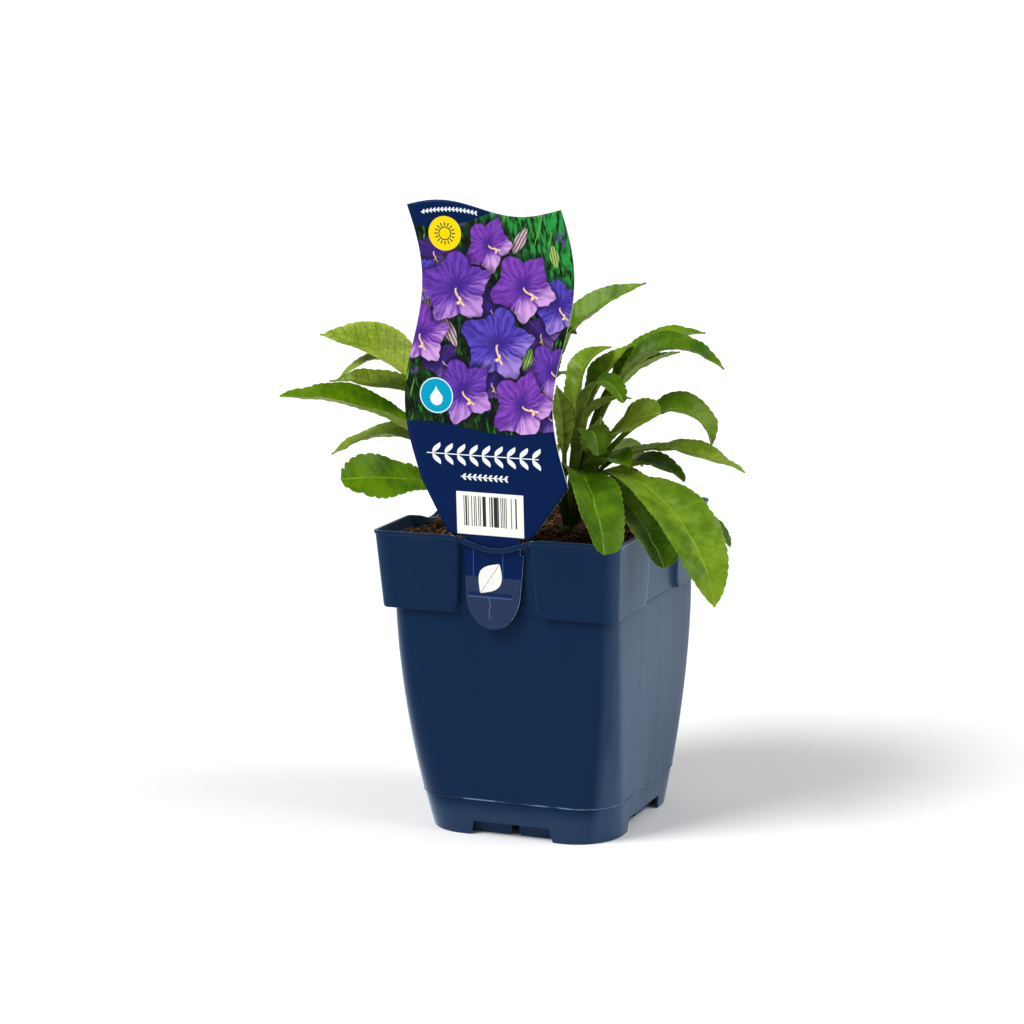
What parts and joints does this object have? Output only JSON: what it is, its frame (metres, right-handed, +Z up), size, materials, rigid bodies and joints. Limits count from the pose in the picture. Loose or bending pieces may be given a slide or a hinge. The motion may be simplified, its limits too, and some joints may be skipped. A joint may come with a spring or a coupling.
{
  "type": "potted bellflower",
  "caption": "Young bellflower plant in leafy rosettes, in a square tapered plastic nursery pot filled with soil, with a tall waved picture label hung at the rim.",
  "frame": {"origin": "middle of the pot's base, at the level it stands on", "axes": "+Z up, -Y towards the side that carries the label, +X to the right as the label is read"},
  "size_m": [0.1986, 0.1543, 0.27],
  "materials": {
    "pot_plastic": "satin navy injection-moulded polypropylene",
    "soil_peat": "matte fibrous peat and coir",
    "label_print": "glossy printed plastic sheet",
    "leaf_green": "satin waxy leaf"
  },
  "bodies": {
    "root": {"pot": "pot_plastic", "potting_soil": "soil_peat", "plant_label": "label_print", "rosette_left": "leaf_green", "rosette_back": "leaf_green", "rosette_right": "leaf_green"}
  },
  "joints": []
}
